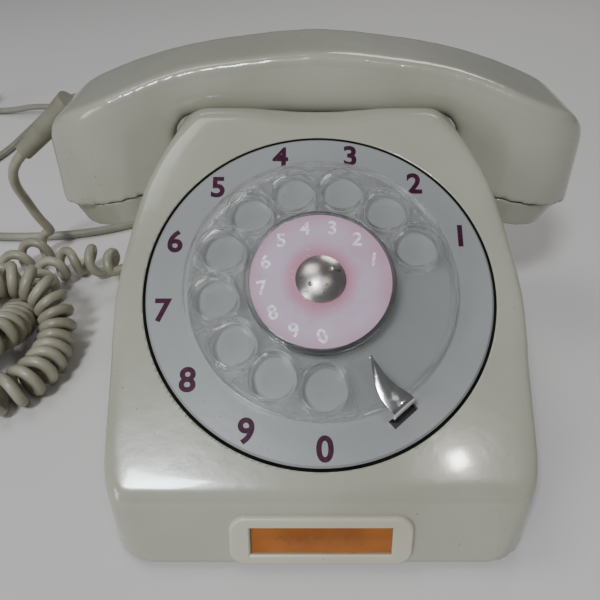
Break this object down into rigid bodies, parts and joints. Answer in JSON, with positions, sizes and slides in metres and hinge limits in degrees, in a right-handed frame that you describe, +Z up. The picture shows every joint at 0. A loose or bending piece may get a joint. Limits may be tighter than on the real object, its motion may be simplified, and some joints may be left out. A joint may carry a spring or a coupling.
{
  "type": "rotary dial desk telephone",
  "caption": "Grey desk telephone with a rotary dial and clear finger wheel, a handset on its cradle, a curly handset cord and a line cord with plug.",
  "frame": {"origin": "on the desk, under the middle of the telephone without its cords", "axes": "+X to the right of someone who dials, +Y to the back, +Z up"},
  "size_m": [0.4188, 0.4328, 0.1167],
  "materials": {
    "housing_plastic": "satin, moulded",
    "ring_plastic": "semi-gloss",
    "black_plastic": "matt",
    "clear_plastic": "clear acrylic, smoky",
    "pink_card": "satin card",
    "amber_card": "card",
    "frame_plastic": "pale satin",
    "nickel": "nickel plated",
    "zinc_steel": "zinc plated",
    "brass": "turned",
    "bell_metal": "spun and polished",
    "spring_steel": "blued",
    "rubber": "matt",
    "grey_rubber": "matt",
    "cord_jacket": "semi-matt jacket",
    "line_jacket": "semi-matt jacket",
    "coil_winding": "varnished tape",
    "board": "paper laminate",
    "capsule": "stamped"
  },
  "bodies": {
    "root": {"housing": "housing_plastic", "label_frame": "frame_plastic", "label_card": "amber_card", "label_window": "clear_plastic", "base_plate": "zinc_steel", "rubber_feet": "rubber", "housing_screws": "zinc_steel", "number_ring": "ring_plastic", "ring_seal": "black_plastic", "dial_frame": "black_plastic", "main_bush": "brass", "finger_stop": "nickel", "dial_bridge": "zinc_steel", "spring_barrel": "zinc_steel", "mainspring": "spring_steel", "governor_cup": "brass", "pulse_contacts": "black_plastic", "hook_bracket": "zinc_steel", "hook_pin": "zinc_steel", "hook_contacts": "black_plastic", "ringer_frame": "zinc_steel", "ringer_coils": "coil_winding", "ringer_gongs": "bell_metal", "gong_screws": "nickel", "clapper_pin": "zinc_steel", "circuit_board": "board", "capacitor": "coil_winding", "induction_coil": "coil_winding", "terminal_block": "black_plastic", "terminal_screws": "brass", "line_gland": "grey_rubber", "curl_gland": "grey_rubber", "handset_cord_tail": "cord_jacket", "handset_cord_stretches": "cord_jacket", "handset_cord_heap": "cord_jacket", "line_cord": "line_jacket", "line_cord_coil": "line_jacket", "plug_body": "black_plastic", "plug_pins": "brass", "plug_boot": "grey_rubber"},
    "wheel": {"finger_wheel": "clear_plastic", "label_disc": "pink_card", "label_ring": "nickel", "hub_cap": "nickel", "main_shaft": "zinc_steel", "main_gear": "brass", "pulse_cam": "brass"},
    "governor": {"governor_pinion": "brass", "governor_spindle": "zinc_steel", "governor_weights": "brass"},
    "plungers": {"cradle_plungers": "frame_plastic", "plunger_bar": "frame_plastic"},
    "hook": {"hook_lever": "zinc_steel"},
    "clapper": {"clapper": "zinc_steel"},
    "handset": {"handset_shell": "housing_plastic", "ear_cap": "housing_plastic", "mouth_cap": "housing_plastic", "receiver_capsule": "capsule", "transmitter_capsule": "capsule", "handset_boot": "grey_rubber"}
  },
  "joints": [
    {"name": "dial_turn", "type": "hinge", "parent": "root", "child": "wheel", "pos_m": [0, -0.027, 0.062], "axis": [0, -0.5736, 0.8192], "range_deg": [-332, 0], "stiffness_Nm_per_rad": 0.02},
    {"name": "governor_spin", "type": "hinge", "parent": "root", "child": "governor", "pos_m": [0, -0.00341, 0.07852], "axis": [0, -0.5736, 0.8192], "range_deg": [0, 1662]},
    {"name": "handset_lift", "type": "slide", "parent": "root", "child": "handset", "axis": [0, 0, 1], "range_m": [0, 0.12]},
    {"name": "plunger_rise", "type": "slide", "parent": "root", "child": "plungers", "axis": [0, 0, 1], "range_m": [0, 0.0051]},
    {"name": "hook_turn", "type": "hinge", "parent": "root", "child": "hook", "pos_m": [0, 0.032, 0.058], "axis": [1, 0, 0], "range_deg": [0, 11.6]},
    {"name": "clapper_swing", "type": "hinge", "parent": "root", "child": "clapper", "pos_m": [0, 0.078, 0.024], "axis": [0, 0, 1], "range_deg": [-4.5, 4.5]}
  ],
  "couplings": [
    {"joint": "governor_spin", "follows": "dial_turn", "ratio": -5},
    {"joint": "plunger_rise", "follows": "handset_lift", "ratio": 0.041667},
    {"joint": "hook_turn", "follows": "handset_lift", "rad_per_m": 1.6667}
  ]
}
